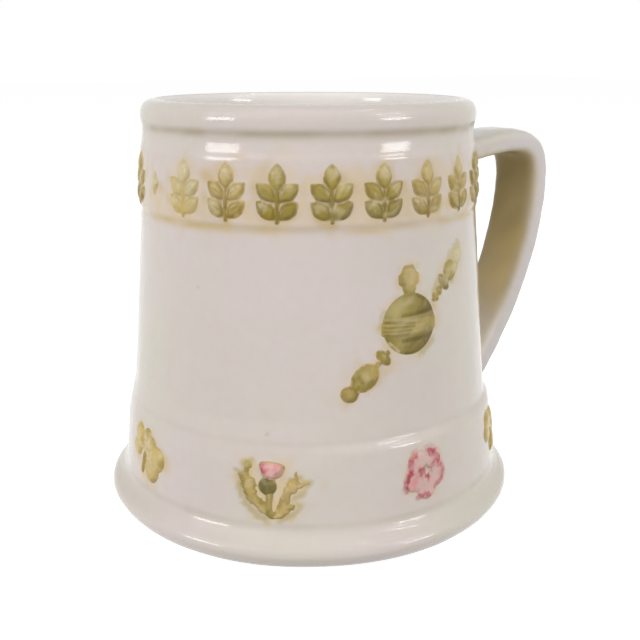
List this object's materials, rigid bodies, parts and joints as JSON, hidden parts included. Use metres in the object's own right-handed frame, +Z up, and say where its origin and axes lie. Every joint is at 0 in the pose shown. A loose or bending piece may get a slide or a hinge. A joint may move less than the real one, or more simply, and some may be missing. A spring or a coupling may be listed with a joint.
{
  "type": "mug",
  "caption": "Glazed earthenware tankard mug with a strap handle, a laurel frieze below the rim, orb and sceptre reliefs on the barrel and flower emblems round the foot.",
  "frame": {"origin": "on the table, under the middle of the whole outline seen from above; the body's own axis stands 12.67 mm back from it, at x = -0.01267", "axes": "+Z up, +X from the body towards the handle, +Y to the left of the handle when it points away from the viewer"},
  "size_m": [0.1294, 0.104, 0.1],
  "materials": {
    "glaze": "glossy warm off-white glaze",
    "olive_sprig": "glossy olive green glaze over relief",
    "green_sprig": "glossy green and ochre glaze over relief",
    "rose_sprig": "glossy pink glaze over relief"
  },
  "bodies": {
    "root": {"vessel": "glaze", "handle": "glaze", "frieze_lozenge_1": "olive_sprig", "frieze_laurel_2": "olive_sprig", "frieze_laurel_3": "olive_sprig", "frieze_laurel_4": "olive_sprig", "frieze_laurel_5": "olive_sprig", "frieze_laurel_6": "olive_sprig", "frieze_laurel_7": "olive_sprig", "frieze_laurel_8": "olive_sprig", "frieze_laurel_9": "olive_sprig", "frieze_laurel_10": "olive_sprig", "frieze_lozenge_11": "olive_sprig", "frieze_laurel_12": "olive_sprig", "frieze_laurel_13": "olive_sprig", "frieze_laurel_14": "olive_sprig", "frieze_laurel_15": "olive_sprig", "frieze_laurel_16": "olive_sprig", "frieze_laurel_17": "olive_sprig", "frieze_laurel_18": "olive_sprig", "frieze_laurel_19": "olive_sprig", "frieze_laurel_20": "olive_sprig", "frieze_lozenge_21": "olive_sprig", "emblem_shamrock_1": "green_sprig", "emblem_rose_2": "rose_sprig", "emblem_thistle_3": "green_sprig", "emblem_shamrock_4": "green_sprig", "emblem_rose_5": "rose_sprig", "emblem_thistle_6": "green_sprig", "emblem_shamrock_7": "green_sprig", "orb": "olive_sprig", "sceptre_lower": "olive_sprig", "sceptre_upper": "olive_sprig"}
  },
  "joints": []
}
